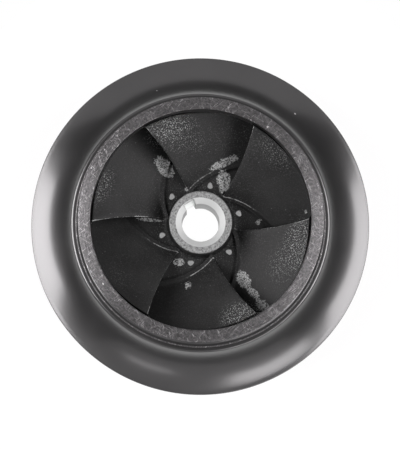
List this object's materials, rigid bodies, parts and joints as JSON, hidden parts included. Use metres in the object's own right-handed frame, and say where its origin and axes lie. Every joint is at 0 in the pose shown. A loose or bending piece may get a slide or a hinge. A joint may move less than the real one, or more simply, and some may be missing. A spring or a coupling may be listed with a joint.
{
  "type": "pump impeller",
  "caption": "Closed mixed-flow pump impeller: cast front and back shrouds with twisted vanes between them, a machined eye neck, a rear sealing ring and a keyed hub bore.",
  "frame": {"origin": "on the axis, in the end face of the rear sealing ring, the lowest plane", "axes": "+Z along the bore's axis towards the suction eye; one vane's inlet edge meets the front shroud on +X"},
  "size_m": [0.256, 0.256, 0.1072],
  "materials": {
    "impeller": "satin black paint on the casting, with bare machined iron on the eye ring, the hub's nose and the bore"
  },
  "bodies": {
    "root": {"impeller": "impeller"}
  },
  "joints": []
}
